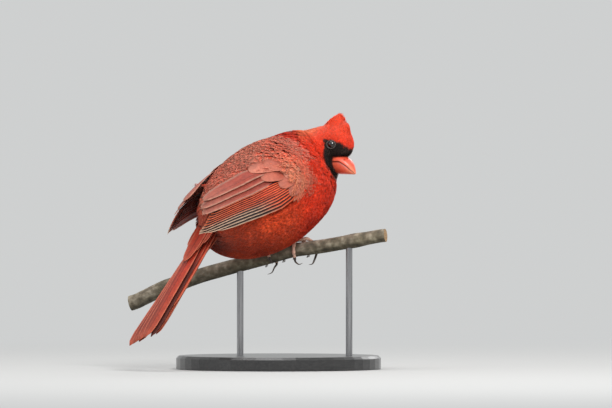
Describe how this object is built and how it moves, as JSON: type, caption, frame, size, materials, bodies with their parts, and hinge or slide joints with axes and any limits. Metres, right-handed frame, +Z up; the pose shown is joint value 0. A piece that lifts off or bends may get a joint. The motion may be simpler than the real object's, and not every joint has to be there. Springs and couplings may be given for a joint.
{
  "type": "perched songbird model",
  "caption": "Life-size male northern cardinal in a fluffed resting pose, head turned aside, gripping a cut branch held over a round base by two rods.",
  "frame": {"origin": "centre of the stand base's underside", "axes": "+X the way the bird's body heads, +Y its left side, +Z up"},
  "size_m": [0.1643, 0.1471, 0.1557],
  "materials": {
    "plumage_red": "soft body feathers",
    "head_red": "soft head feathers",
    "wing_rose": "smooth flight feathers",
    "tail_red": "smooth tail feathers",
    "bill_coral": "smooth horn",
    "eye_dark": "wet gloss",
    "leg_tan": "scaled skin",
    "claw_brown": "smooth horn",
    "bark_grey": "weathered bark",
    "stand_black": "satin black paint",
    "rod_steel": "brushed"
  },
  "bodies": {
    "root": {"torso": "plumage_red", "neck": "plumage_red", "head": "head_red", "bill_upper": "bill_coral", "bill_lower": "bill_coral", "eye_right": "eye_dark", "eye_left": "eye_dark", "wing_right": "wing_rose", "wing_left": "wing_rose", "tail": "tail_red", "leg_right": "leg_tan", "leg_left": "leg_tan", "claw_right_hind": "claw_brown", "claw_right_inner": "claw_brown", "claw_right_middle": "claw_brown", "claw_right_outer": "claw_brown", "claw_left_hind": "claw_brown", "claw_left_inner": "claw_brown", "claw_left_middle": "claw_brown", "claw_left_outer": "claw_brown", "perch": "bark_grey", "stand_base": "stand_black", "stand_rod_1": "rod_steel", "stand_rod_2": "rod_steel"}
  },
  "joints": []
}
